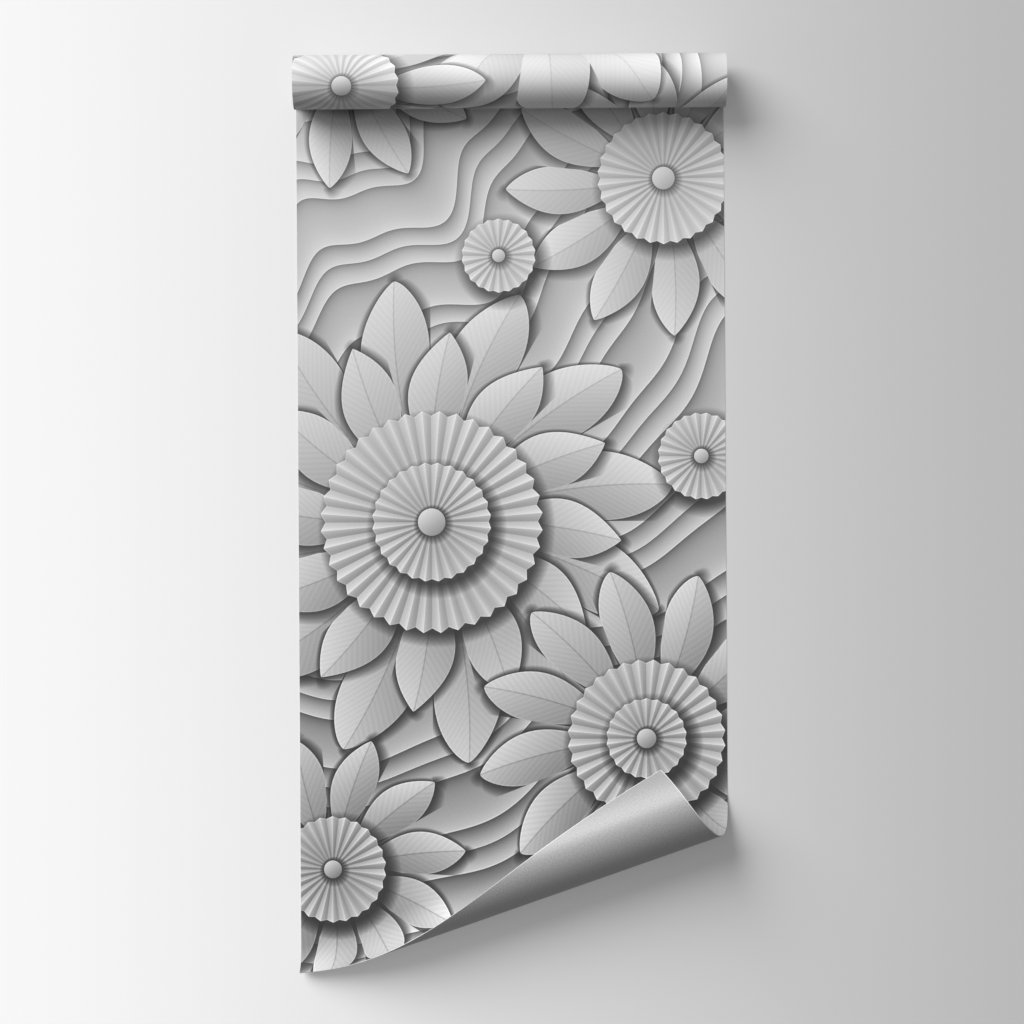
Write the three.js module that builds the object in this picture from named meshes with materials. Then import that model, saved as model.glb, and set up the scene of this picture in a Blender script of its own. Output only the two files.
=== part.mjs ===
// A strip of wallpaper, partly unrolled and lying with its print side up. Millimetres, +Z up.
// The roll lies at the far end (+Y), the free strip runs towards -Y, and its near right corner curls up and over.
// The strip is one sheet of paper and so one closed solid: a flat rectangle that is bent without stretching it.
import * as THREE from 'three';

// Paper
const STRIP_WIDTH = 530;
const PAPER_THICKNESS = 0.5;

// Free strip, from its near edge to the line where it lifts off the floor towards the roll
const FREE_LENGTH = 1069;

// Roll, wound with the print outside. Each turn steps in to the next one over the last part of its circle.
const ROLL_RADIUS = 33;
const TURN_SPACING = 1.3;
const TURN_COUNT = 9.25;
const TURN_STEP_SHARE = 0.12;
const LIFT_RADIUS = 8;

// Corner curl. It starts on a line that leaves the left edge and climbs to the right, and it is bent round two cones,
// one after the other, with a common apex far to the left. Radii and arc are measured where that line meets the
// right edge.
const CURL_START_ON_LEFT_EDGE = 33;
const CURL_START_ANGLE = THREE.MathUtils.degToRad(20.2);
const CURL_APEX_DISTANCE = 1924;
const CURL_RADIUS = 47;
const CURL_ARC = 172;
const CURL_TAIL_RADIUS = 89;

// Facets
const CURL_SEGMENTS = 24;
const NEAR_CORNER_SEGMENTS = 3;
const LIFT_SEGMENTS = 8;
const SEGMENTS_PER_TURN = 30;

const PAPER_GREY = 0xb9b9b9;

// Height of the middle of the paper where it lies on the floor
const FLOOR_HEIGHT = PAPER_THICKNESS / 2;

const curlApex = new THREE.Vector3(
  -CURL_APEX_DISTANCE * Math.cos(CURL_START_ANGLE),
  CURL_START_ON_LEFT_EDGE - CURL_APEX_DISTANCE * Math.sin(CURL_START_ANGLE),
  FLOOR_HEIGHT,
);
const curlReach = (STRIP_WIDTH - curlApex.x) / Math.cos(CURL_START_ANGLE);

// Paper that bends without stretching keeps straight lines in it. The solid is made from such lines, in order from
// the curled corner to the inner end of the roll. Each has its left and right end on the strip's outline, in the
// middle of the paper, and the direction that its print faces.
function crossLine(along, height, facing) {
  return {
    left: new THREE.Vector3(0, along, height),
    right: new THREE.Vector3(STRIP_WIDTH, along, height),
    facing,
  };
}

// Swings a line of the curl about the apex, while the paper wraps round a cone with this radius at the curl's reach
function wrap(direction, facing, swing, radius) {
  const turnAxis = direction.clone().multiplyScalar(curlReach / radius).add(facing);
  const turn = -swing * turnAxis.length();
  turnAxis.normalize();
  direction.applyAxisAngle(turnAxis, turn);
  facing.applyAxisAngle(turnAxis, turn);
}

function curlLine(swing) {
  const flatAngle = CURL_START_ANGLE - swing;
  const toLeftEdge = -curlApex.x / Math.cos(flatAngle);
  const toNearEdge = -curlApex.y / Math.sin(flatAngle);
  const toRightEdge = (STRIP_WIDTH - curlApex.x) / Math.cos(flatAngle);
  const direction = new THREE.Vector3(Math.cos(CURL_START_ANGLE), Math.sin(CURL_START_ANGLE), 0);
  const facing = new THREE.Vector3(0, 0, 1);
  const curlSwing = CURL_ARC / curlReach;
  wrap(direction, facing, Math.min(swing, curlSwing), CURL_RADIUS);
  wrap(direction, facing, Math.max(swing - curlSwing, 0), CURL_TAIL_RADIUS);
  return {
    left: curlApex.clone().addScaledVector(direction, Math.max(toLeftEdge, toNearEdge)),
    right: curlApex.clone().addScaledVector(direction, toRightEdge),
    facing,
  };
}

// From the tip of the curled corner, past the near left corner, to the line where the curl starts
function curlLines() {
  const tipSwing = CURL_START_ANGLE - Math.atan2(-curlApex.y, STRIP_WIDTH - curlApex.x);
  const nearLeftSwing = CURL_START_ANGLE - Math.atan2(-curlApex.y, -curlApex.x);
  const lines = [];
  for (let k = 0; k < CURL_SEGMENTS; k += 1) {
    lines.push(curlLine(THREE.MathUtils.lerp(tipSwing, nearLeftSwing, k / CURL_SEGMENTS)));
  }
  for (let k = 0; k <= NEAR_CORNER_SEGMENTS; k += 1) {
    lines.push(curlLine(THREE.MathUtils.lerp(nearLeftSwing, 0, k / NEAR_CORNER_SEGMENTS)));
  }
  return lines;
}

// The strip lifts off the floor in a small bend towards -Y, and joins the near underside of the roll. From there it
// goes up the near side, over the top and down to the floor, and so on inwards.
function rollLines() {
  const turnRadius = ROLL_RADIUS - PAPER_THICKNESS / 2;
  const rise = ROLL_RADIUS - LIFT_RADIUS - FLOOR_HEIGHT;
  const liftAngle = Math.asin(rise / (turnRadius + LIFT_RADIUS));
  const rollAlong = FREE_LENGTH + (turnRadius + LIFT_RADIUS) * Math.cos(liftAngle);
  const lines = [];
  for (let k = 0; k <= LIFT_SEGMENTS; k += 1) {
    const angle = THREE.MathUtils.lerp(-Math.PI / 2, liftAngle, k / LIFT_SEGMENTS);
    const outward = new THREE.Vector3(0, Math.cos(angle), Math.sin(angle));
    const along = FREE_LENGTH + LIFT_RADIUS * outward.y;
    const height = FLOOR_HEIGHT + LIFT_RADIUS * (1 + outward.z);
    lines.push(crossLine(along, height, outward.negate()));
  }
  const segments = Math.round(TURN_COUNT * SEGMENTS_PER_TURN);
  for (let k = 1; k <= segments; k += 1) {
    const turns = k / SEGMENTS_PER_TURN;
    const wholeTurns = Math.floor(turns);
    const step = THREE.MathUtils.smoothstep(turns - wholeTurns, 1 - TURN_STEP_SHARE, 1);
    const radius = turnRadius - TURN_SPACING * (wholeTurns + step);
    const angle = Math.PI + liftAngle - 2 * Math.PI * turns;
    const outward = new THREE.Vector3(0, Math.cos(angle), Math.sin(angle));
    lines.push(crossLine(rollAlong + radius * outward.y, ROLL_RADIUS + radius * outward.z, outward));
  }
  return lines;
}

// Gives the lines their thickness and joins them to one closed solid. Each line has four corners: left and right,
// each on the back of the paper and on its print side. The first line is the tip, where left and right are one point.
function paperGeometry(lines) {
  const positions = [];
  for (const { left, right, facing } of lines) {
    for (const side of [-1, 1]) {
      const offset = (side * PAPER_THICKNESS) / 2;
      positions.push(...left.clone().addScaledVector(facing, offset));
      positions.push(...right.clone().addScaledVector(facing, offset));
    }
  }
  const indices = [];
  const quad = (a, b, c, d) => indices.push(a, b, c, a, c, d);
  for (let k = 1; k < lines.length; k += 1) {
    const [backLeft, backRight, printLeft, printRight] = [0, 1, 2, 3].map((corner) => 4 * k + corner);
    quad(printLeft - 4, printRight - 4, printRight, printLeft);
    quad(backLeft - 4, backLeft, backRight, backRight - 4);
    quad(backLeft - 4, printLeft - 4, printLeft, backLeft);
    quad(backRight - 4, backRight, printRight, printRight - 4);
  }
  const last = 4 * (lines.length - 1);
  quad(last, last + 2, last + 3, last + 1);
  const geometry = new THREE.BufferGeometry();
  geometry.setAttribute('position', new THREE.Float32BufferAttribute(positions, 3));
  geometry.setIndex(indices);
  return geometry;
}

// The origin is the middle of the footprint, on the floor
function standOnOrigin(geometry) {
  geometry.computeBoundingBox();
  const middle = geometry.boundingBox.getCenter(new THREE.Vector3());
  geometry.translate(-middle.x, -middle.y, -geometry.boundingBox.min.z);
  geometry.computeVertexNormals();
  return geometry;
}

const wallpaperStrip = new THREE.Mesh(
  standOnOrigin(paperGeometry([...curlLines(), ...rollLines()])),
  new THREE.MeshStandardMaterial({ color: PAPER_GREY, roughness: 0.85, metalness: 0 }),
);
wallpaperStrip.name = 'wallpaper_strip';

const wallpaperRoll = new THREE.Group();
wallpaperRoll.name = 'wallpaper_roll';
wallpaperRoll.add(wallpaperStrip);

export default wallpaperRoll;
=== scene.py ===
import math
from typing import NamedTuple

import bpy
import numpy as np
from bpy.props import FloatProperty, FloatVectorProperty, PointerProperty
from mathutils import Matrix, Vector


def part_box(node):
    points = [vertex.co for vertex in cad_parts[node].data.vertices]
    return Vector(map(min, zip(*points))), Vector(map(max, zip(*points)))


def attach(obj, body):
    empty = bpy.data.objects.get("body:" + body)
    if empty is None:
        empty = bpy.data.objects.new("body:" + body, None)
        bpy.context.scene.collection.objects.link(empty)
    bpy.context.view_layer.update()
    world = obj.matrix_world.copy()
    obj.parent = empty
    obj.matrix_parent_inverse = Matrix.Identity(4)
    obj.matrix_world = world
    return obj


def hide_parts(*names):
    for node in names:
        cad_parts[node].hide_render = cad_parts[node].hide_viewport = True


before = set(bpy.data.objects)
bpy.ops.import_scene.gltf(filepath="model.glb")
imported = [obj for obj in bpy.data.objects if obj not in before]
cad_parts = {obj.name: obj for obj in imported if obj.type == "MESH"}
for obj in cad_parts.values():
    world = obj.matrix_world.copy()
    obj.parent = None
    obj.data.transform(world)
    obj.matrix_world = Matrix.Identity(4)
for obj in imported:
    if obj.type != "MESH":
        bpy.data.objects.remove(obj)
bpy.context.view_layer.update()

bl_info = {
    "name": "Wallpaper Strip",
    "version": (1, 0, 0),
    "blender": (4, 5, 0),
    "location": "3D View > Sidebar > Wallpaper",
    "description": "Builds a partly unrolled strip of printed wallpaper and a plain studio for it",
    "category": "Object",
}

STRIP_NODE = "wallpaper_strip"


def linear(hex_colour):
    """An sRGB hex colour as linear red, green and blue."""
    coded = np.array([int(hex_colour[k:k + 2], 16) for k in (1, 3, 5)]) / 255
    return tuple(np.where(coded > 0.04045, ((coded + 0.055) / 1.055) ** 2.4, coded / 12.92))


# What a user would change


class StripSizes(bpy.types.PropertyGroup):
    """Sizes of the paper, and of the way it lies"""

    width: FloatProperty(
        name="Width", description="Across the strip", default=0.530, unit="LENGTH")
    thickness: FloatProperty(
        name="Thickness", description="Of the paper", default=0.0005, precision=5, unit="LENGTH")
    free_length: FloatProperty(
        name="Free length", description="From the near edge to where the paper lifts off the floor",
        default=1.069, unit="LENGTH")
    roll_radius: FloatProperty(
        name="Roll radius", description="Outside of the outer turn", default=0.033, unit="LENGTH")
    turn_spacing: FloatProperty(
        name="Turn spacing", description="From one turn of the roll to the next", default=0.0013,
        precision=5, unit="LENGTH")
    turn_count: FloatProperty(
        name="Turns", description="How many turns the roll has", default=9.25)
    turn_step_share: FloatProperty(
        name="Step share", description="Part of each turn in which it steps in to the next one",
        default=0.12, subtype="FACTOR")
    lift_radius: FloatProperty(
        name="Lift radius", description="Of the bend that takes the paper off the floor", default=0.008,
        unit="LENGTH")
    curl_start: FloatProperty(
        name="Curl start", description="Where the curl begins on the left edge, from the near edge",
        default=0.033, unit="LENGTH")
    curl_angle: FloatProperty(
        name="Curl angle", description="Between the near edge and the line where the curl begins",
        default=math.radians(20.2), subtype="ANGLE")
    curl_apex_distance: FloatProperty(
        name="Curl apex distance", default=1.924, unit="LENGTH",
        description="From the left edge to the point where the curl's lines would meet")
    curl_radius: FloatProperty(
        name="Curl radius", description="Of the curl's first bend, at the right edge", default=0.047,
        unit="LENGTH")
    curl_arc: FloatProperty(
        name="Curl arc", description="Length of the curl's first bend, at the right edge", default=0.172,
        unit="LENGTH")
    curl_tail_radius: FloatProperty(
        name="Curl tail radius", description="Of the curl's second bend, at the right edge", default=0.089,
        unit="LENGTH")


class PaperColours(bpy.types.PropertyGroup):
    """Colours of the print and of the bare paper"""

    print_dark: FloatVectorProperty(
        name="Print, dark", description="Darkest ink of the print", default=linear("#1C1C1C"),
        subtype="COLOR")
    print_light: FloatVectorProperty(
        name="Print, light", description="Ground coat that the print leaves lightest",
        default=linear("#F2F2F2"), subtype="COLOR")
    reverse: FloatVectorProperty(
        name="Reverse", description="Unprinted back of the paper", default=linear("#8E8E8E"), subtype="COLOR")
    pale_cut: FloatVectorProperty(
        name="Reverse, at the cut", description="Back of the paper close to where it is cut",
        default=linear("#D2D2D2"), subtype="COLOR")
    cut_edge: FloatVectorProperty(
        name="Cut edge", description="Bare fibre where the sheet is cut", default=linear("#EFEFEF"),
        subtype="COLOR")


class StudioSettings(bpy.types.PropertyGroup):
    """Floor, light and camera"""

    # The floor's fall from white on the left to grey on the right is painted shade: it stands in for light
    # that falls off towards the right.
    floor_painted_lit_left: FloatVectorProperty(
        name="Floor, left", description="Colour of the floor to the left of the paper",
        default=linear("#FFFFFF"), subtype="COLOR")
    floor_painted_shade_right: FloatVectorProperty(
        name="Floor, right", description="Colour of the floor to the right of the paper",
        default=linear("#B7B7B7"), subtype="COLOR")
    floor_blend: FloatProperty(
        name="Floor blend", description="Width of the band in which the one colour turns into the other",
        default=1.8, unit="LENGTH")
    floor_evenness: FloatProperty(
        name="Floor evenness", default=0.25, subtype="FACTOR",
        description="How much of the floor's colour the camera sees whatever the light")
    floor_size: FloatProperty(
        name="Floor size", description="Side of the square floor", default=14.0, unit="LENGTH")
    side_light: FloatProperty(
        name="Side light", description="Strength of the soft light from the far left", default=4.30)
    side_light_height: FloatProperty(
        name="Side light height", description="Angle of the side light over the floor",
        default=math.radians(33), subtype="ANGLE")
    side_light_width: FloatProperty(
        name="Side light width", description="How wide the side light looks from the paper",
        default=math.radians(46), subtype="ANGLE")
    top_light: FloatProperty(
        name="Top light", description="Strength of the wide light overhead", default=0.42)
    top_light_height: FloatProperty(
        name="Top light height", description="Angle of the top light over the floor",
        default=math.radians(80), subtype="ANGLE")
    top_light_width: FloatProperty(
        name="Top light width", description="How wide the top light looks from the paper",
        default=math.radians(45), subtype="ANGLE")
    fill_light: FloatProperty(
        name="Fill light", description="Strength of the light from all round", default=0.08)
    light_turn: FloatProperty(
        name="Light turn", description="How far to the left of the far side the lights stand",
        default=math.radians(45), subtype="ANGLE")
    camera_height: FloatProperty(
        name="Camera height", description="Over the floor", default=3.5, unit="LENGTH")
    view_width: FloatProperty(
        name="View width", description="Width of the floor in the picture", default=1.2704, unit="LENGTH")
    camera_turn: FloatProperty(
        name="Camera turn", description="Turn of the camera about its line of sight",
        default=math.radians(-0.35), subtype="ANGLE")


# The paper's shape. Steps along the paper, and across it.
CURL_STEPS = 150
NEAR_CORNER_STEPS = 12
FLAT_STEPS = 36
LIFT_STEPS = 20
STEPS_PER_TURN = 64
STEPS_ACROSS = 16

# Faces that meet at more than this keep a crisp edge between them
CRISP_ANGLE = math.radians(50)

# The UV map that the paper's patterns are read off. It holds the strip laid flat, in metres.
FLAT_MAP = "flat_strip"


class Lines(NamedTuple):
    """Straight lines that the bent paper keeps in it, in order from the curled corner to the inner end of
    the roll. Each has its left and right end in the middle of the paper, the way that its print faces, and
    the same two ends on the strip laid flat, as distances across and along it."""

    left: np.ndarray
    right: np.ndarray
    facing: np.ndarray
    flat_left: np.ndarray
    flat_right: np.ndarray

    def then(self, other):
        """These lines, and the other ones after them."""
        return Lines(*(np.concatenate(pair) for pair in zip(self, other)))


def turned(vectors, axes, angles):
    """Each vector turned about its own unit axis by its own angle: the part along the axis stays, and the
    part across it goes round."""
    cosine, sine = np.cos(angles)[:, None], np.sin(angles)[:, None]
    kept = (vectors * axes).sum(axis=1, keepdims=True) * axes
    return kept + (vectors - kept) * cosine + np.cross(axes, vectors) * sine


def wrapped(direction, facing, swing, bend):
    """Directions from the apex, and the ways that the print faces, once the paper has swung on round a
    cone. bend is the distance from the apex over the radius there. The turn's axis is bend parts of the
    direction and one part of the facing, and the turn is the swing times that axis's length."""
    axes = direction * bend + facing
    length = np.linalg.norm(axes, axis=1)
    axes /= length[:, None]
    return turned(direction, axes, -swing * length), turned(facing, axes, -swing * length)


def curl_lines(size):
    """Lines of the curled corner, from its tip back to where the curl starts. Laid flat they are rays from
    one apex, each at its own angle. Bent, each keeps its distances from the apex, and its direction follows
    a first cone for the length of the curl's arc, and a second cone after it."""
    apex = np.array([0, size.curl_start])
    apex -= size.curl_apex_distance * np.array([math.cos(size.curl_angle), math.sin(size.curl_angle)])
    reach = (size.width - apex[0]) / math.cos(size.curl_angle)
    tip_swing = size.curl_angle - math.atan2(-apex[1], size.width - apex[0])
    near_left_swing = size.curl_angle - math.atan2(-apex[1], -apex[0])
    swing = np.concatenate([
        np.linspace(tip_swing, near_left_swing, CURL_STEPS + 1)[:-1],
        np.linspace(near_left_swing, 0, NEAR_CORNER_STEPS + 1),
    ])
    flat_direction = np.stack([np.cos(size.curl_angle - swing), np.sin(size.curl_angle - swing)], axis=1)
    to_left = np.maximum(-apex[0] / flat_direction[:, 0], -apex[1] / flat_direction[:, 1])[:, None]
    to_right = ((size.width - apex[0]) / flat_direction[:, 0])[:, None]

    direction = np.tile([math.cos(size.curl_angle), math.sin(size.curl_angle), 0.0], (len(swing), 1))
    facing = np.tile([0.0, 0.0, 1.0], (len(swing), 1))
    first_swing = np.minimum(swing, size.curl_arc / reach)
    direction, facing = wrapped(direction, facing, first_swing, reach / size.curl_radius)
    direction, facing = wrapped(direction, facing, swing - first_swing, reach / size.curl_tail_radius)
    bent_apex = np.array([*apex, size.thickness / 2])
    return Lines(
        bent_apex + direction * to_left,
        bent_apex + direction * to_right,
        facing,
        apex + flat_direction * to_left,
        apex + flat_direction * to_right,
    )


def flat_lines(size, curl):
    """Lines over the flat paper, from where the curl starts to where the paper lifts. Each end moves
    straight from the one to the other, in steps that are short at first and at last."""
    start_left, start_right = curl.flat_left[-1], curl.flat_right[-1]
    share = 0.5 - 0.5 * np.cos(np.linspace(0, np.pi, FLAT_STEPS + 1)[1:-1, None])
    flat_left = start_left + ([0, size.free_length] - start_left) * share
    flat_right = start_right + ([size.width, size.free_length] - start_right) * share
    height = np.full_like(share, size.thickness / 2)
    return Lines(
        np.hstack([flat_left, height]),
        np.hstack([flat_right, height]),
        np.repeat(curl.facing[-1:], len(share), axis=0),
        flat_left,
        flat_right,
    )


def cross_lines(size, along, height, facing, flat_along):
    """Lines square across the strip, from its left edge to its right one."""
    zero = np.zeros_like(along)
    left = np.stack([zero, along, height], axis=1)
    flat_left = np.stack([zero, flat_along], axis=1)
    return Lines(left, left + [size.width, 0, 0], facing, flat_left, flat_left + [size.width, 0])


def roll_lines(size):
    """Lines of the lift and of the roll. The lift is an arc about an axis over the paper. The roll's turns
    are circles about an axis of their own, and each steps in to the next on a smooth curve in the last part
    of the turn."""
    half = size.thickness / 2
    turn_radius = size.roll_radius - half
    rise = size.roll_radius - size.lift_radius - half
    lift_angle = math.asin(rise / (turn_radius + size.lift_radius))
    axis_along = size.free_length + (turn_radius + size.lift_radius) * math.cos(lift_angle)

    angle = np.linspace(-np.pi / 2, lift_angle, LIFT_STEPS + 1)
    outward = np.stack([np.zeros_like(angle), np.cos(angle), np.sin(angle)], axis=1)
    lift = cross_lines(
        size,
        size.free_length + size.lift_radius * outward[:, 1],
        half + size.lift_radius * (1 + outward[:, 2]),
        -outward,
        size.free_length + size.lift_radius * (angle + np.pi / 2),
    )

    turns = np.arange(1, round(size.turn_count * STEPS_PER_TURN) + 1) / STEPS_PER_TURN
    whole = np.floor(turns)
    share = np.clip((turns - whole - 1) / size.turn_step_share + 1, 0, 1)
    radius = turn_radius - size.turn_spacing * (whole + share * share * (3 - 2 * share))
    angle = np.pi + lift_angle - 2 * np.pi * turns
    outward = np.stack([np.zeros_like(angle), np.cos(angle), np.sin(angle)], axis=1)
    wound = cross_lines(
        size,
        axis_along + radius * outward[:, 1],
        size.roll_radius + radius * outward[:, 2],
        outward,
        lift.flat_left[-1, 1] + np.cumsum(radius) * 2 * np.pi / STEPS_PER_TURN,
    )
    return lift.then(wound)


def quad_grid(corners):
    """Triangles of the quads between neighbouring points of a grid of vertex numbers, without those that have
    shrunk to a line."""
    a, b = corners[:-1, :-1].ravel(), corners[:-1, 1:].ravel()
    c, d = corners[1:, 1:].ravel(), corners[1:, :-1].ravel()
    triangles = np.concatenate([np.stack([a, b, c], axis=1), np.stack([a, c, d], axis=1)])
    return triangles[(np.diff(np.sort(triangles, axis=1), axis=1) > 0).all(axis=1)]


def paper_mesh(name, size):
    """The strip as one closed skin. Its two sides are grids, of lines by steps across, half a thickness
    either way along the line's facing, and narrow grids join them round the rim. The curled corner's tip is
    one point on each side. Faces carry material 0 on the print, 1 on the reverse and 2 on the rim."""
    curl = curl_lines(size)
    lines = curl.then(flat_lines(size, curl)).then(roll_lines(size))
    across = np.linspace(0, 1, STEPS_ACROSS + 1)[None, :, None]
    middle = lines.left[:, None] + (lines.right - lines.left)[:, None] * across
    flat = lines.flat_left[:, None] + (lines.flat_right - lines.flat_left)[:, None] * across
    offset = lines.facing[:, None] * size.thickness / 2
    points = np.concatenate([(middle + offset).reshape(-1, 3), (middle - offset).reshape(-1, 3)])
    flat = np.tile(flat.reshape(-1, 2), (2, 1))

    front = np.arange(middle[..., 0].size).reshape(middle.shape[:2])
    front[0] = front[0, 0]
    back = front + front.size
    grids = (
        (0, front),
        (1, back[:, ::-1]),
        (2, np.stack([back[:, 0], front[:, 0]], axis=1)),
        (2, np.stack([front[:, -1], back[:, -1]], axis=1)),
        (2, np.stack([front[-1], back[-1]])),
    )
    grids = [(material, quad_grid(corners)) for material, corners in grids]
    materials = np.concatenate([np.full(len(part), material, np.int32) for material, part in grids])
    used, triangles = np.unique(np.concatenate([part for _, part in grids]), return_inverse=True)
    points, flat, triangles = points[used], flat[used], triangles.reshape(-1, 3)

    # The skin's box goes over the middle of the solid's box, and down to the same floor
    low, high = (np.array(corner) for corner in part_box(STRIP_NODE))
    points -= (points.min(axis=0) + points.max(axis=0)) / 2
    points += [*((low + high) / 2)[:2], low[2] - points[:, 2].min()]

    mesh = bpy.data.meshes.new(name)
    mesh.from_pydata(points, [], triangles)
    mesh.polygons.foreach_set("material_index", materials)
    layer = mesh.uv_layers.new(name=FLAT_MAP)
    layer.uv.foreach_set("vector", flat[triangles.ravel()].astype(np.float32).ravel())
    mesh.shade_smooth()
    mesh.set_sharp_from_angle(angle=CRISP_ANGLE)
    return mesh


# Materials
MM = 0.001

# Places of the two colours among a Mix node's inputs, and of the mixed colour among its outputs
MIX_FIRST, MIX_SECOND, MIX_RESULT = 6, 7, 2


def add(tree, kind, inputs=None, **settings):
    """Adds a node with its settings. inputs holds, by an input's name or place, its value or its source."""
    node = tree.nodes.new(kind)
    for name, value in settings.items():
        setattr(node, name, value)
    for key, value in (inputs or {}).items():
        if isinstance(value, bpy.types.Node):
            value = value.outputs[0]
        if isinstance(value, bpy.types.NodeSocket):
            tree.links.new(value, node.inputs[key])
        else:
            node.inputs[key].default_value = value
    return node


def follow(tree, values, steps):
    """Works a formula out, with one Math node for each step. A step is the new value's name, the operation,
    and what the operation takes, each a number or the name of an earlier value. CLAMPED keeps a result
    between 0 and 1."""
    for name, operation, *takes in steps:
        *clamped, operation = operation.split()
        inputs = {k: values[part] if isinstance(part, str) else part for k, part in enumerate(takes)}
        values[name] = add(tree, "ShaderNodeMath", inputs, operation=operation, use_clamp=bool(clamped))
    return values


def new_material(name):
    """A material, and its empty node tree."""
    material = bpy.data.materials.new(name)
    material.use_nodes = True
    material.node_tree.nodes.clear()
    return material, material.node_tree


# The print. Its tones run from 0, the darkest, to 1, the lightest. The light that is drawn in it comes from
# this way, across the strip and along it.
PRINT_LIGHT_X = -0.6
PRINT_LIGHT_Y = 0.8

# Sizes in the print, in millimetres
SHEET_WIDTH = 38
FAN_RIM = 1.3
FAN_SHADOW_THROW = 10
FAN_SHADOW_BLUR = 18
LEAF_RIM = 1.5
LEAF_VEIN_SPACING = 10
HALF_MIDRIB = 0.9

# How far the shadow of a leaf's side and of a button reaches, and how much further it does away from the
# light, in millimetres. Over a leaf's axis the one side's reach turns into the other's, in about this width.
LEAF_SHADOW_REACH, LEAF_SHADOW_LEAN = 12, 8
LEAF_AXIS_BLEND = 6
BUTTON_SHADOW_REACH, BUTTON_SHADOW_LEAN = 8, 4

# How many long and short waves the edge of a wavy sheet would make in a full turn
LONG_WAVES, SHORT_WAVES = 17, 37

# Tones of the motifs. Where a motif has two, it runs from the darker one to the lighter one.
SHEET_SHADED, SHEET_LIT = 0.30, 0.86
FAN_MIDDLE, FAN_OUTSIDE = 0.58, 0.76
LEAF_BASE, LEAF_TIP = 0.60, 0.86
BUTTON_MIDDLE = 0.76

# What is left of the tone below a motif where its shadow is deepest
PAPER_SHADOW, BUTTON_SHADOW = 0.32, 0.35


def laid_over(motif_tone, deepest):
    """The last steps of a motif. Outside it the tone below is dimmed where daylight is short, at most to
    the deepest share of itself, and inside it the motif's own tone is in place of that."""
    return (
        ("dimming", "MULTIPLY_ADD", "daylight", 1 - deepest, deepest),
        ("below", "MULTIPLY", "tone", "dimming"),
        ("gain", "SUBTRACT", motif_tone, "below"),
        ("result", "MULTIPLY_ADD", "gain", "inside", "below"),
    )


# Where a point lies from a motif's centre: how far away, and at which angle
ROUND_A_CENTRE = (
    ("away_x", "SUBTRACT", "x", "centre_x"),
    ("away_y", "SUBTRACT", "y", "centre_y"),
    ("angle", "ARCTAN2", "away_y", "away_x"),
    ("away_x_squared", "MULTIPLY", "away_x", "away_x"),
    ("away_squared", "MULTIPLY_ADD", "away_y", "away_y", "away_x_squared"),
    ("distance", "SQRT", "away_squared"),
)

# Wavy sheets of paper, some broad and some narrow, each lying over the next one out from a far corner. A
# sheet is dark where the one before shades it, grows lighter away from it, and ends in a light rim.
LAYERED_GROUND = ROUND_A_CENTRE + (
    ("long_wave_angle", "MULTIPLY_ADD", "angle", LONG_WAVES, 0.8),
    ("long_wave", "SINE", "long_wave_angle"),
    ("short_wave_start", "MULTIPLY", "distance", 1 / 130),
    ("short_wave_angle", "MULTIPLY_ADD", "angle", SHORT_WAVES, "short_wave_start"),
    ("short_wave", "SINE", "short_wave_angle"),
    ("straight", "DIVIDE", "distance", SHEET_WIDTH),
    ("waved", "MULTIPLY_ADD", "long_wave", 0.62, "straight"),
    ("even_layers", "MULTIPLY_ADD", "short_wave", 0.20, "waved"),
    ("uneven_angle", "MULTIPLY", "even_layers", 2 * math.pi / 3),
    ("uneven", "SINE", "uneven_angle"),
    ("layers", "MULTIPLY_ADD", "uneven", 0.33, "even_layers"),
    ("part", "FRACT", "layers"),
    ("out_of_shade", "POWER", "part", 0.45),
    ("sheet_tone", "MULTIPLY_ADD", "out_of_shade", SHEET_LIT - SHEET_SHADED, SHEET_SHADED),
    ("rim", "GREATER_THAN", "part", 0.955),
    ("result", "MULTIPLY_ADD", "rim", 0.05, "sheet_tone"),
)

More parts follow.
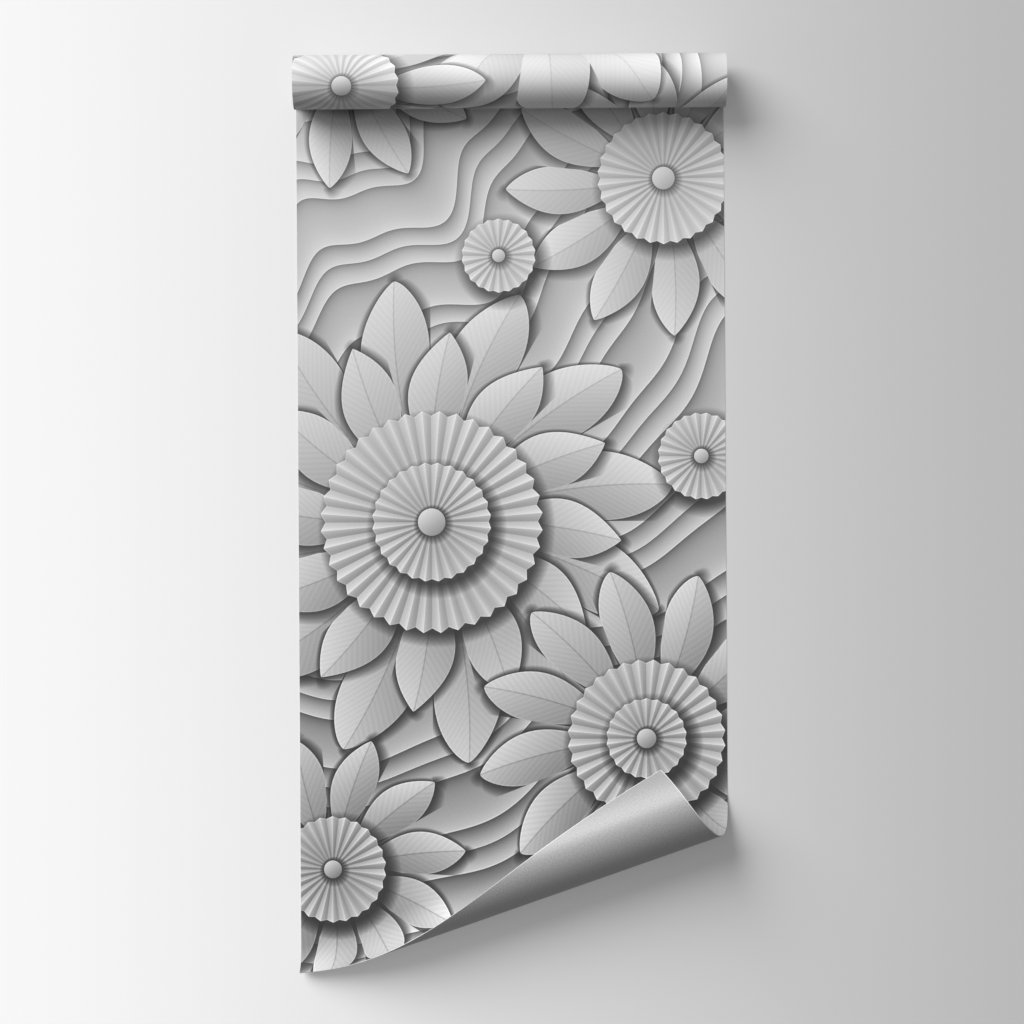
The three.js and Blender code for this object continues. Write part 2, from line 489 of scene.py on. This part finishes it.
# A round fan of paper pleats. Each pleat has a face towards the light and one away from it, is darker in
# its valleys and towards the middle, and ends in a point with a light rim. The fan shades what is below it.
PLEATED_FAN = ROUND_A_CENTRE + (
    ("pleat", "MULTIPLY", "angle", "pleats_per_radian"),
    ("fold", "PINGPONG", "pleat", 0.5),
    ("height", "MULTIPLY", "fold", 2.0),
    ("part", "FRACT", "pleat"),
    ("falling", "GREATER_THAN", "part", 0.5),
    ("facing", "MULTIPLY_ADD", "falling", 2.0, -1.0),
    ("cosine", "COSINE", "angle"),
    ("sine", "SINE", "angle"),
    ("light_y", "MULTIPLY", "cosine", PRINT_LIGHT_Y),
    ("light_across", "MULTIPLY_ADD", "sine", -PRINT_LIGHT_X, "light_y"),
    ("lit", "MULTIPLY", "light_across", "facing"),
    ("share", "DIVIDE", "distance", "radius"),
    ("middle_tone", "MULTIPLY_ADD", "share", FAN_OUTSIDE - FAN_MIDDLE, FAN_MIDDLE),
    ("face_tone", "MULTIPLY_ADD", "lit", 0.10, "middle_tone"),
    ("height_squared", "MULTIPLY", "height", "height"),
    ("pleat_tone", "MULTIPLY_ADD", "height_squared", 0.13, "face_tone"),
    ("rim_share", "MULTIPLY_ADD", "height", 0.045, 0.955),
    ("to_rim", "SUBTRACT", "rim_share", "share"),
    ("to_rim_mm", "MULTIPLY", "to_rim", "radius"),
    ("rim", "LESS_THAN", "to_rim_mm", FAN_RIM),
    ("fan_tone", "MULTIPLY_ADD", "rim", 0.06, "pleat_tone"),
    ("inside", "GREATER_THAN", "to_rim_mm", 0.0),
    ("shadow_x", "ADD", "away_x", FAN_SHADOW_THROW * PRINT_LIGHT_X),
    ("shadow_y", "ADD", "away_y", FAN_SHADOW_THROW * PRINT_LIGHT_Y),
    ("shadow_x_squared", "MULTIPLY", "shadow_x", "shadow_x"),
    ("shadow_squared", "MULTIPLY_ADD", "shadow_y", "shadow_y", "shadow_x_squared"),
    ("shadow_distance", "SQRT", "shadow_squared"),
    ("shadow_radius", "MULTIPLY", "radius", 0.94),
    ("past_shadow", "SUBTRACT", "shadow_distance", "shadow_radius"),
    ("daylight", "CLAMPED DIVIDE", "past_shadow", FAN_SHADOW_BLUR),
) + laid_over("fan_tone", PAPER_SHADOW)

# A ring of folded paper leaves. Each bulges between its base and its tip, and ends in a finer point the
# higher its pointedness is. Its axis may bend. Its two halves slope down from a midrib, side veins slant out
# from that, its rim catches the light, and it shades what is below it.
LEAF_RING = ROUND_A_CENTRE + (
    ("turns", "MULTIPLY_ADD", "angle", "leaves_per_radian", "turn"),
    ("part", "FRACT", "turns"),
    ("from_axis", "SUBTRACT", "part", 0.5),
    ("swing", "DIVIDE", "from_axis", "leaves_per_radian"),
    ("swing_cosine", "COSINE", "swing"),
    ("swing_sine", "SINE", "swing"),
    ("along", "MULTIPLY", "distance", "swing_cosine"),
    ("straight_across", "MULTIPLY", "distance", "swing_sine"),
    ("length", "SUBTRACT", "outer", "inner"),
    ("past_base", "SUBTRACT", "along", "inner"),
    ("share", "DIVIDE", "past_base", "length"),
    ("on_leaf", "CLAMPED MULTIPLY", "share", 1.0),
    ("share_squared", "MULTIPLY", "on_leaf", "on_leaf"),
    ("across", "MULTIPLY_ADD", "share_squared", "bend", "straight_across"),
    ("skewed_share", "POWER", "on_leaf", 1.35),
    ("bulge_angle", "MULTIPLY", "skewed_share", math.pi),
    ("even_bulge", "SINE", "bulge_angle"),
    ("bulge", "POWER", "even_bulge", "pointedness"),
    ("edge", "MULTIPLY", "bulge", "half_width"),
    ("off_axis", "ABSOLUTE", "across"),
    ("beyond", "SUBTRACT", "share", "on_leaf"),
    ("beyond_size", "ABSOLUTE", "beyond"),
    ("beyond_mm", "MULTIPLY", "beyond_size", "length"),
    ("inside_sides", "SUBTRACT", "edge", "off_axis"),
    ("depth", "SUBTRACT", "inside_sides", "beyond_mm"),
    ("inside", "GREATER_THAN", "depth", 0.0),
    ("axis_angle", "SUBTRACT", "angle", "swing"),
    ("axis_cosine", "COSINE", "axis_angle"),
    ("axis_sine", "SINE", "axis_angle"),
    ("light_y", "MULTIPLY", "axis_cosine", PRINT_LIGHT_Y),
    ("light_across", "MULTIPLY_ADD", "axis_sine", -PRINT_LIGHT_X, "light_y"),
    ("half", "SIGN", "across"),
    ("lit", "MULTIPLY", "light_across", "half"),
    ("out_share", "DIVIDE", "off_axis", "half_width"),
    ("slope", "MULTIPLY_ADD", "out_share", 0.08, 0.03),
    ("base_tone", "MULTIPLY_ADD", "on_leaf", LEAF_TIP - LEAF_BASE, LEAF_BASE),
    ("half_tone", "MULTIPLY_ADD", "lit", "slope", "base_tone"),
    ("vein_run", "MULTIPLY_ADD", "off_axis", -1.3, "along"),
    ("vein", "PINGPONG", "vein_run", LEAF_VEIN_SPACING / 2),
    ("veined_tone", "MULTIPLY_ADD", "vein", 0.006, "half_tone"),
    ("rim", "LESS_THAN", "depth", LEAF_RIM),
    ("rimmed_tone", "MULTIPLY_ADD", "rim", 0.05, "veined_tone"),
    ("midrib", "LESS_THAN", "off_axis", HALF_MIDRIB),
    ("leaf_tone", "MULTIPLY_ADD", "midrib", -0.10, "rimmed_tone"),
    ("past_axis", "ADD", "off_axis", LEAF_AXIS_BLEND),
    ("side", "DIVIDE", "across", "past_axis"),
    ("side_light", "MULTIPLY", "light_across", "side"),
    ("shadow_reach", "MULTIPLY_ADD", "side_light", -LEAF_SHADOW_LEAN, LEAF_SHADOW_REACH),
    ("past_side", "SUBTRACT", "off_axis", "edge"),
    ("outside", "MAXIMUM", "past_side", 0.0),
    ("outside_squared", "MULTIPLY", "outside", "outside"),
    ("gap_squared", "MULTIPLY_ADD", "beyond_mm", "beyond_mm", "outside_squared"),
    ("gap", "SQRT", "gap_squared"),
    ("into_light", "DIVIDE", "gap", "shadow_reach"),
    ("daylight", "CLAMPED MULTIPLY", "into_light", 1.0),
) + laid_over("leaf_tone", PAPER_SHADOW)

# A round domed paper button, lighter on its side towards the light, which shades what is below it
BUTTON = ROUND_A_CENTRE + (
    ("share", "DIVIDE", "distance", "radius"),
    ("inside", "LESS_THAN", "share", 1.0),
    ("lean_x", "MULTIPLY", "away_x", PRINT_LIGHT_X),
    ("lean", "MULTIPLY_ADD", "away_y", PRINT_LIGHT_Y, "lean_x"),
    ("lean_share", "DIVIDE", "lean", "radius"),
    ("button_tone", "MULTIPLY_ADD", "lean_share", 0.16, BUTTON_MIDDLE),
    ("past_rim", "SUBTRACT", "distance", "radius"),
    ("lean_direction", "DIVIDE", "lean", "distance"),
    ("shadow_reach", "MULTIPLY_ADD", "lean_direction", -BUTTON_SHADOW_LEAN, BUTTON_SHADOW_REACH),
    ("into_light", "DIVIDE", "past_rim", "shadow_reach"),
    ("daylight", "CLAMPED MULTIPLY", "into_light", 1.0),
) + laid_over("button_tone", BUTTON_SHADOW)

# What each kind of motif takes besides the point, the tone below it and its own centre
MOTIF_KINDS = {
    "layered_ground": (LAYERED_GROUND, ()),
    "pleated_fan": (PLEATED_FAN, ("radius", "pleats_per_radian")),
    "leaf_ring": (LEAF_RING, (
        "inner", "outer", "half_width", "pointedness", "bend", "leaves_per_radian", "turn")),
    "button": (BUTTON, ("radius",)),
}
PER_TURN = 1 / (2 * math.pi)

# The point that the wavy sheets lie round, and the middles of the rosettes, in millimetres across the strip
# and along it
BEYOND_THE_CORNER = (-260, 1460)
ON_THE_ROLL = (300, 1315)
UPPER_LEFT = (60, 1150)
UPPER_RIGHT = (455, 985)
UPPER_MIDDLE = (250, 890)
RIGHT_EDGE = (500, 640)
LARGEST = (165, 560)
LOWER_RIGHT = (430, 290)
LOWER_LEFT = (40, 130)

# The print, from the bottom up. After its kind and its centre a motif has what its kind takes, in that
# order, with lengths in millimetres.
MOTIFS = (
    ("layered_ground", BEYOND_THE_CORNER),
    ("leaf_ring", UPPER_RIGHT, 40, 195, 30, 0.8, 18, 12 * PER_TURN, 0.2),
    ("leaf_ring", ON_THE_ROLL, 20, 232, 48, 0.6, 16, 11 * PER_TURN, 0.0),
    ("leaf_ring", UPPER_LEFT, 30, 175, 27, 0.8, -16, 11 * PER_TURN, 0.6),
    ("leaf_ring", LARGEST, 90, 300, 44, 0.7, 34, 12 * PER_TURN, 0.0),
    ("leaf_ring", LARGEST, 60, 235, 36, 0.9, 24, 12 * PER_TURN, 0.5),
    ("pleated_fan", LARGEST, 138, 40 * PER_TURN),
    ("pleated_fan", LARGEST, 74, 28 * PER_TURN),
    ("button", LARGEST, 17),
    ("leaf_ring", LOWER_RIGHT, 50, 210, 32, 0.7, -22, 12 * PER_TURN, 0.3),
    ("pleated_fan", LOWER_RIGHT, 98, 32 * PER_TURN),
    ("pleated_fan", LOWER_RIGHT, 50, 22 * PER_TURN),
    ("button", LOWER_RIGHT, 12),
    ("pleated_fan", UPPER_RIGHT, 82, 30 * PER_TURN),
    ("button", UPPER_RIGHT, 14),
    ("leaf_ring", LOWER_LEFT, 30, 165, 27, 0.8, 16, 11 * PER_TURN, 0.1),
    ("pleated_fan", LOWER_LEFT, 66, 26 * PER_TURN),
    ("button", LOWER_LEFT, 11),
    ("pleated_fan", UPPER_LEFT, 70, 26 * PER_TURN),
    ("button", UPPER_LEFT, 12),
    ("pleated_fan", RIGHT_EDGE, 54, 24 * PER_TURN),
    ("button", RIGHT_EDGE, 9),
    ("pleated_fan", UPPER_MIDDLE, 46, 22 * PER_TURN),
    ("button", UPPER_MIDDLE, 8),
)


def motif_group(name, steps, takes):
    """A node group that lays a motif over the tone that it is given."""
    tree = bpy.data.node_groups.new(name, "ShaderNodeTree")
    for socket in ("x", "y", "tone", "centre_x", "centre_y", *takes):
        tree.interface.new_socket(name=socket, in_out="INPUT", socket_type="NodeSocketFloat")
    tree.interface.new_socket(name="result", in_out="OUTPUT", socket_type="NodeSocketFloat")
    given = add(tree, "NodeGroupInput")
    values = {socket.name: socket for socket in given.outputs if socket.name}
    result = follow(tree, values, steps)["result"]
    add(tree, "NodeGroupOutput", {"result": result})
    return tree


def grain(tree, size, detail):
    """The fine unevenness of the sheet laid flat, with features of that size, in metres."""
    place = add(tree, "ShaderNodeUVMap", uv_map=FLAT_MAP)
    return add(
        tree, "ShaderNodeTexNoise",
        {"Vector": place, "Scale": 1 / size, "Detail": detail, "Roughness": 0.6}, noise_dimensions="2D")


# Features of the paper's tooth and fibres. Real ones are too fine to show in the picture, so they are drawn
# this coarse.
TOOTH = 2 * MM
EDGE_TOOTH = 1.5 * MM
TOOTH_RELIEF = 0.05 * MM
FIBRE_RELIEF = 0.2 * MM

# How far the tooth moves a tone of the print, and the speckle of the fibres a colour of the bare paper
TOOTH_SHARE = 0.06
SPECKLE_SHARE = 0.34
EDGE_SPECKLE_SHARE = 0.15

# The print grows lighter over this stretch of the strip, in millimetres from its near edge. Its tones are
# raised to the one power before that stretch, and to the other after it.
FADE_START, FADE_LENGTH = 200, 900
POWER_BEFORE, POWER_AFTER = 3.1, 1.3


def printed_wallpaper(colours):
    """Non-woven wallpaper, printed in greys and matt-coated: it looks dry and even, with the faint tooth of
    the paper under the ink. The print is deep and rich in contrast near the strip's end, and grows lighter
    and softer towards the roll: each tone is raised to a power, which falls steadily on the way."""
    material, tree = new_material("printed_wallpaper")
    place = add(tree, "ShaderNodeUVMap", uv_map=FLAT_MAP)
    millimetres = add(tree, "ShaderNodeVectorMath", {0: place, 1: (1 / MM, 1 / MM, 0)}, operation="MULTIPLY")
    point = add(tree, "ShaderNodeSeparateXYZ", {0: millimetres})
    x, y = point.outputs["X"], point.outputs["Y"]
    groups = {kind: motif_group(kind, *parts) for kind, parts in MOTIF_KINDS.items()}
    tone = 0.0
    for kind, centre, *sizes in MOTIFS:
        given = dict(enumerate([x, y, tone, *centre, *sizes]))
        tone = add(tree, "ShaderNodeGroup", given, node_tree=groups[kind])

    tooth = grain(tree, TOOTH, 3)
    lightness = follow(tree, {"tone": tone, "tooth": tooth, "y": y}, (
        ("centred", "SUBTRACT", "tooth", 0.5),
        ("toothed", "MULTIPLY_ADD", "centred", TOOTH_SHARE, "tone"),
        ("past_start", "SUBTRACT", "y", FADE_START),
        ("faded", "CLAMPED DIVIDE", "past_start", FADE_LENGTH),
        ("power", "MULTIPLY_ADD", "faded", POWER_AFTER - POWER_BEFORE, POWER_BEFORE),
        ("lightness", "CLAMPED POWER", "toothed", "power"),
    ))["lightness"]
    ink = add(tree, "ShaderNodeMix", {
        "Factor": lightness,
        MIX_FIRST: (*colours.print_dark, 1),
        MIX_SECOND: (*colours.print_light, 1),
    }, data_type="RGBA").outputs[MIX_RESULT]
    relief = add(tree, "ShaderNodeBump", {"Height": tooth, "Distance": TOOTH_RELIEF, "Strength": 0.6})
    shader = add(tree, "ShaderNodeBsdfPrincipled", {"Base Color": ink, "Roughness": 0.72, "Normal": relief})
    add(tree, "ShaderNodeOutputMaterial", {"Surface": shader})
    return material


# How far in from the cut the bare paper is paler
PALE_CUT = 0.7 * MM


def bare_paper(colours, width):
    """The uncoated back of non-woven wallpaper: pressed fibre, so it is plain grey and finely speckled,
    with a soft sheen from the rollers, and it is paler along the cut."""
    material, tree = new_material("bare_nonwoven_paper")
    fibre = grain(tree, TOOTH, 2)
    light = tuple(channel * (1 + SPECKLE_SHARE) for channel in colours.reverse)
    dark = tuple(channel * (1 - SPECKLE_SHARE) for channel in colours.reverse)
    speckled = add(
        tree, "ShaderNodeMix", {"Factor": fibre, MIX_FIRST: (*dark, 1), MIX_SECOND: (*light, 1)},
        data_type="RGBA",
    ).outputs[MIX_RESULT]
    place = add(tree, "ShaderNodeUVMap", uv_map=FLAT_MAP)
    point = add(tree, "ShaderNodeSeparateXYZ", {0: place})
    cut = follow(tree, {"x": point.outputs["X"], "y": point.outputs["Y"]}, (
        ("to_right", "SUBTRACT", width, "x"),
        ("to_side", "MINIMUM", "x", "to_right"),
        ("to_cut", "MINIMUM", "to_side", "y"),
        ("cut", "LESS_THAN", "to_cut", PALE_CUT),
    ))["cut"]
    edged = add(
        tree, "ShaderNodeMix", {"Factor": cut, MIX_FIRST: speckled, MIX_SECOND: (*colours.pale_cut, 1)},
        data_type="RGBA",
    ).outputs[MIX_RESULT]
    relief = add(tree, "ShaderNodeBump", {"Height": fibre, "Distance": FIBRE_RELIEF, "Strength": 0.8})
    shader = add(tree, "ShaderNodeBsdfPrincipled", {
        "Base Color": edged, "Roughness": 0.46, "Specular IOR Level": 1.0, "Normal": relief})
    add(tree, "ShaderNodeOutputMaterial", {"Surface": shader})
    return material


def cut_paper_edge(colours):
    """Paper cut with a blade: the bare fibre shows as a thin pale line, a little uneven."""
    material, tree = new_material("cut_paper_edge")
    fibre = grain(tree, EDGE_TOOTH, 2)
    dark = tuple(channel * (1 - EDGE_SPECKLE_SHARE) for channel in colours.cut_edge)
    uneven = add(
        tree, "ShaderNodeMix", {"Factor": fibre, MIX_FIRST: (*dark, 1), MIX_SECOND: (*colours.cut_edge, 1)},
        data_type="RGBA",
    ).outputs[MIX_RESULT]
    shader = add(tree, "ShaderNodeBsdfPrincipled", {"Base Color": uneven, "Roughness": 0.95})
    add(tree, "ShaderNodeOutputMaterial", {"Surface": shader})
    return material


# The picture's middle on the floor
VIEW_CENTRE = (0.0004, 0.0031, 0.0)

# What the floor throws back at the paper, and what is seen past the floor
THROWN_BACK = linear("#5A5A5A")
BACKDROP = linear("#C8C8C8")


def seen_plainly(tree):
    """1 for what the camera sees, straight, mirrored or through glass, and 0 for what only throws light."""
    path = add(tree, "ShaderNodeLightPath")
    mirrored = add(
        tree, "ShaderNodeMath",
        {0: path.outputs["Is Glossy Ray"], 1: path.outputs["Is Transmission Ray"]}, operation="MAXIMUM")
    return add(tree, "ShaderNodeMath", {0: path.outputs["Is Camera Ray"], 1: mirrored}, operation="MAXIMUM")


def matt_floor(studio):
    """A matt floor whose colour falls smoothly from white on the left of the paper to light grey on the
    right.
    That fall is painted shade, standing in for light that falls off towards the right. Part of its colour
    shows without light, which keeps the shadows soft. It throws little light back at the paper, as a floor
    does that is dark outside the lit middle."""
    material, tree = new_material("matt_floor_paint")
    place = add(tree, "ShaderNodeTexCoord").outputs["Object"]
    point = add(tree, "ShaderNodeSeparateXYZ", {0: place})
    half = studio.floor_blend / 2
    share = add(
        tree, "ShaderNodeMapRange", {"Value": point.outputs["X"], "From Min": -half, "From Max": half},
        interpolation_type="SMOOTHSTEP")
    # Painted shade: the colour falls from white to grey, as light would fall off towards the right
    colour = add(tree, "ShaderNodeMix", {
        "Factor": share,
        MIX_FIRST: (*studio.floor_painted_lit_left, 1),
        MIX_SECOND: (*studio.floor_painted_shade_right, 1),
    }, data_type="RGBA").outputs[MIX_RESULT]
    lit = add(tree, "ShaderNodeBsdfDiffuse", {"Color": colour})
    unlit = add(tree, "ShaderNodeEmission", {"Color": colour})
    falloff_look = add(tree, "ShaderNodeMixShader", {0: studio.floor_evenness, 1: lit, 2: unlit})
    thrown_back = add(tree, "ShaderNodeBsdfDiffuse", {"Color": (*THROWN_BACK, 1)})
    mixed = add(tree, "ShaderNodeMixShader", {0: seen_plainly(tree), 1: thrown_back, 2: falloff_look})
    add(tree, "ShaderNodeOutputMaterial", {"Surface": mixed})
    return material


def soft_light(name, strength, height, width, turn):
    """An even light from far away, at that height over the floor and turned left from the far side."""
    lamp = bpy.data.lights.new(name, "SUN")
    lamp.energy = strength
    lamp.angle = width
    lamp_object = bpy.data.objects.new(name, lamp)
    lamp_object.rotation_euler = (height - math.pi / 2, 0, turn)
    bpy.context.scene.collection.objects.link(lamp_object)


def light_studio(studio):
    """Two soft lights, and an even world, which the camera and mirrors see as pale grey."""
    for name in ("side_light", "top_light"):
        strength, height, width = (getattr(studio, name + part) for part in ("", "_height", "_width"))
        soft_light(name, strength, height, width, studio.light_turn)
    world = bpy.data.worlds.new("studio_world")
    world.use_nodes = True
    tree = world.node_tree
    tree.nodes.clear()
    fill = add(tree, "ShaderNodeBackground", {"Color": (1, 1, 1, 1), "Strength": studio.fill_light})
    backdrop = add(tree, "ShaderNodeBackground", {"Color": (*BACKDROP, 1), "Strength": 1.0})
    mixed = add(tree, "ShaderNodeMixShader", {0: seen_plainly(tree), 1: fill, 2: backdrop})
    add(tree, "ShaderNodeOutputWorld", {"Surface": mixed})
    bpy.context.scene.world = world


def look_down(studio):
    """The camera, straight over the strip and turned a little about its line of sight."""
    camera = bpy.data.cameras.new("camera")
    camera.sensor_width = 36.0
    camera.lens = camera.sensor_width * studio.camera_height / studio.view_width
    camera_object = bpy.data.objects.new("camera", camera)
    camera_object.location = Vector(VIEW_CENTRE) + Vector((0, 0, studio.camera_height))
    camera_object.rotation_euler = (0, 0, studio.camera_turn)
    bpy.context.scene.collection.objects.link(camera_object)
    bpy.context.scene.camera = camera_object


class WALLPAPER_OT_strip(bpy.types.Operator):
    """Builds the printed strip, with its curled corner and its roll"""

    bl_idname = "wallpaper.strip"
    bl_label = "Wallpaper strip"
    bl_options = {"REGISTER", "UNDO"}

    def execute(self, context):
        colours = context.scene.wallpaper_colours
        size = context.scene.wallpaper_sizes
        mesh = paper_mesh("wallpaper_sheet", size)
        mesh.materials.append(printed_wallpaper(colours))
        mesh.materials.append(bare_paper(colours, size.width))
        mesh.materials.append(cut_paper_edge(colours))
        strip = bpy.data.objects.new("wallpaper_sheet", mesh)
        context.scene.collection.objects.link(strip)
        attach(strip, "root")
        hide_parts(STRIP_NODE)
        return {"FINISHED"}


class WALLPAPER_OT_studio(bpy.types.Operator):
    """Builds the floor, the light and the camera"""

    bl_idname = "wallpaper.studio"
    bl_label = "Studio"
    bl_options = {"REGISTER", "UNDO"}

    def execute(self, context):
        studio = context.scene.wallpaper_studio
        half = studio.floor_size / 2
        mesh = bpy.data.meshes.new("studio_floor")
        corners = [(-half, -half, 0), (half, -half, 0), (half, half, 0), (-half, half, 0)]
        mesh.from_pydata(corners, [], [(0, 1, 2, 3)])
        mesh.materials.append(matt_floor(studio))
        floor = bpy.data.objects.new("studio_floor", mesh)
        context.scene.collection.objects.link(floor)
        light_studio(studio)
        look_down(studio)
        context.scene.view_settings.view_transform = "Standard"
        return {"FINISHED"}


class WALLPAPER_PT_panel(bpy.types.Panel):
    """Sizes, colours and buttons for the wallpaper strip and its studio"""

    bl_idname = "WALLPAPER_PT_panel"
    bl_label = "Wallpaper strip"
    bl_space_type = "VIEW_3D"
    bl_region_type = "UI"
    bl_category = "Wallpaper"

    def draw(self, context):
        for name, group in SETTINGS.items():
            box = self.layout.box()
            for setting in group.__annotations__:
                box.prop(getattr(context.scene, name), setting)
        for operator in (WALLPAPER_OT_strip, WALLPAPER_OT_studio):
            self.layout.operator(operator.bl_idname)


SETTINGS = {
    "wallpaper_sizes": StripSizes,
    "wallpaper_colours": PaperColours,
    "wallpaper_studio": StudioSettings,
}
CLASSES = (*SETTINGS.values(), WALLPAPER_OT_strip, WALLPAPER_OT_studio, WALLPAPER_PT_panel)


def register():
    for item in CLASSES:
        bpy.utils.register_class(item)
    for name, group in SETTINGS.items():
        setattr(bpy.types.Scene, name, PointerProperty(type=group))


def unregister():
    for name in SETTINGS:
        delattr(bpy.types.Scene, name)
    for item in reversed(CLASSES):
        bpy.utils.unregister_class(item)


def main():
    """Builds everything."""
    register()
    bpy.ops.wallpaper.strip()
    bpy.ops.wallpaper.studio()


if __name__ == "__main__":
    main()
